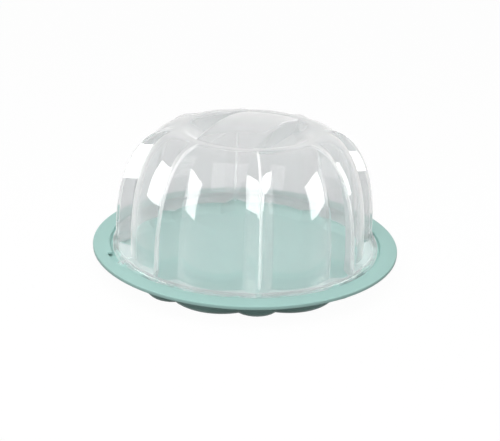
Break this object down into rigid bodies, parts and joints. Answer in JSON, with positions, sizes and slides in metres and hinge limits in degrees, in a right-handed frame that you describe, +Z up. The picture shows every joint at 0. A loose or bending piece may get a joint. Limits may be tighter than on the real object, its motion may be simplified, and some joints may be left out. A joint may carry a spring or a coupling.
{
  "type": "cake keeper",
  "caption": "Round cake keeper: a tray with a flat rim and a scalloped well under a clear fluted dome lid with a grip bar between finger scoops; the lid lifts off.",
  "frame": {"origin": "centre of the tray's underside, on the plane it stands on", "axes": "+Z up through the centre of the tray and the lid; +Y along the lid's grip bar; +X across the bar, through the two finger scoops"},
  "size_m": [0.33, 0.33, 0.1578],
  "materials": {
    "tray_plastic": "pale mint injection-moulded polypropylene, satin",
    "clear_plastic": "clear, faintly milky moulded plastic, glossy"
  },
  "bodies": {
    "base": {"base_tray": "tray_plastic"},
    "lid": {"dome_lid": "clear_plastic"}
  },
  "joints": [
    {"name": "lid_lift", "type": "slide", "parent": "base", "child": "lid", "axis": [0, 0, 1], "range_m": [0, 0.16]}
  ]
}
